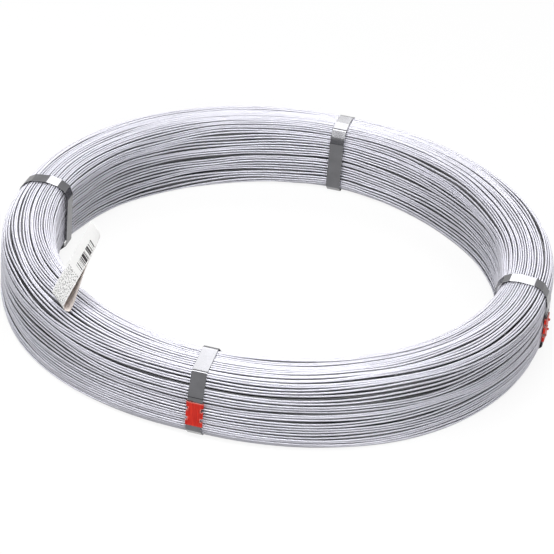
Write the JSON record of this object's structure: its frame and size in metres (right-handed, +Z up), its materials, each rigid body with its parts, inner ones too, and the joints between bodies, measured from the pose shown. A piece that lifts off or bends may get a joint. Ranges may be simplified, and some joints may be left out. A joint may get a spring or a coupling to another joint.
{
  "type": "coil of electric fence wire",
  "caption": "Flat-lying coil of smooth galvanised steel fence wire with an open eye, tied by flat steel straps with red crimped seals, with a white paper flag tag.",
  "frame": {"origin": "on the floor under the coil's axis, at the level of the straps' lower faces", "axes": "+Z up along the coil's axis, -Y towards the front strap, +X towards the right strap"},
  "size_m": [0.7116, 0.7116, 0.1911],
  "materials": {
    "galvanised_wire": "dull bright zinc",
    "strap_steel": "smooth rolled, slightly oiled",
    "seal_red": "satin red paint, chipped at the crimps",
    "tag_paper": "white label paper"
  },
  "bodies": {
    "root": {"wire_coil": "galvanised_wire", "strap_right": "strap_steel", "strap_back": "strap_steel", "strap_left": "strap_steel", "strap_front": "strap_steel", "seal_right": "seal_red", "seal_back": "seal_red", "seal_left": "seal_red", "seal_front": "seal_red", "tag": "tag_paper"}
  },
  "joints": []
}
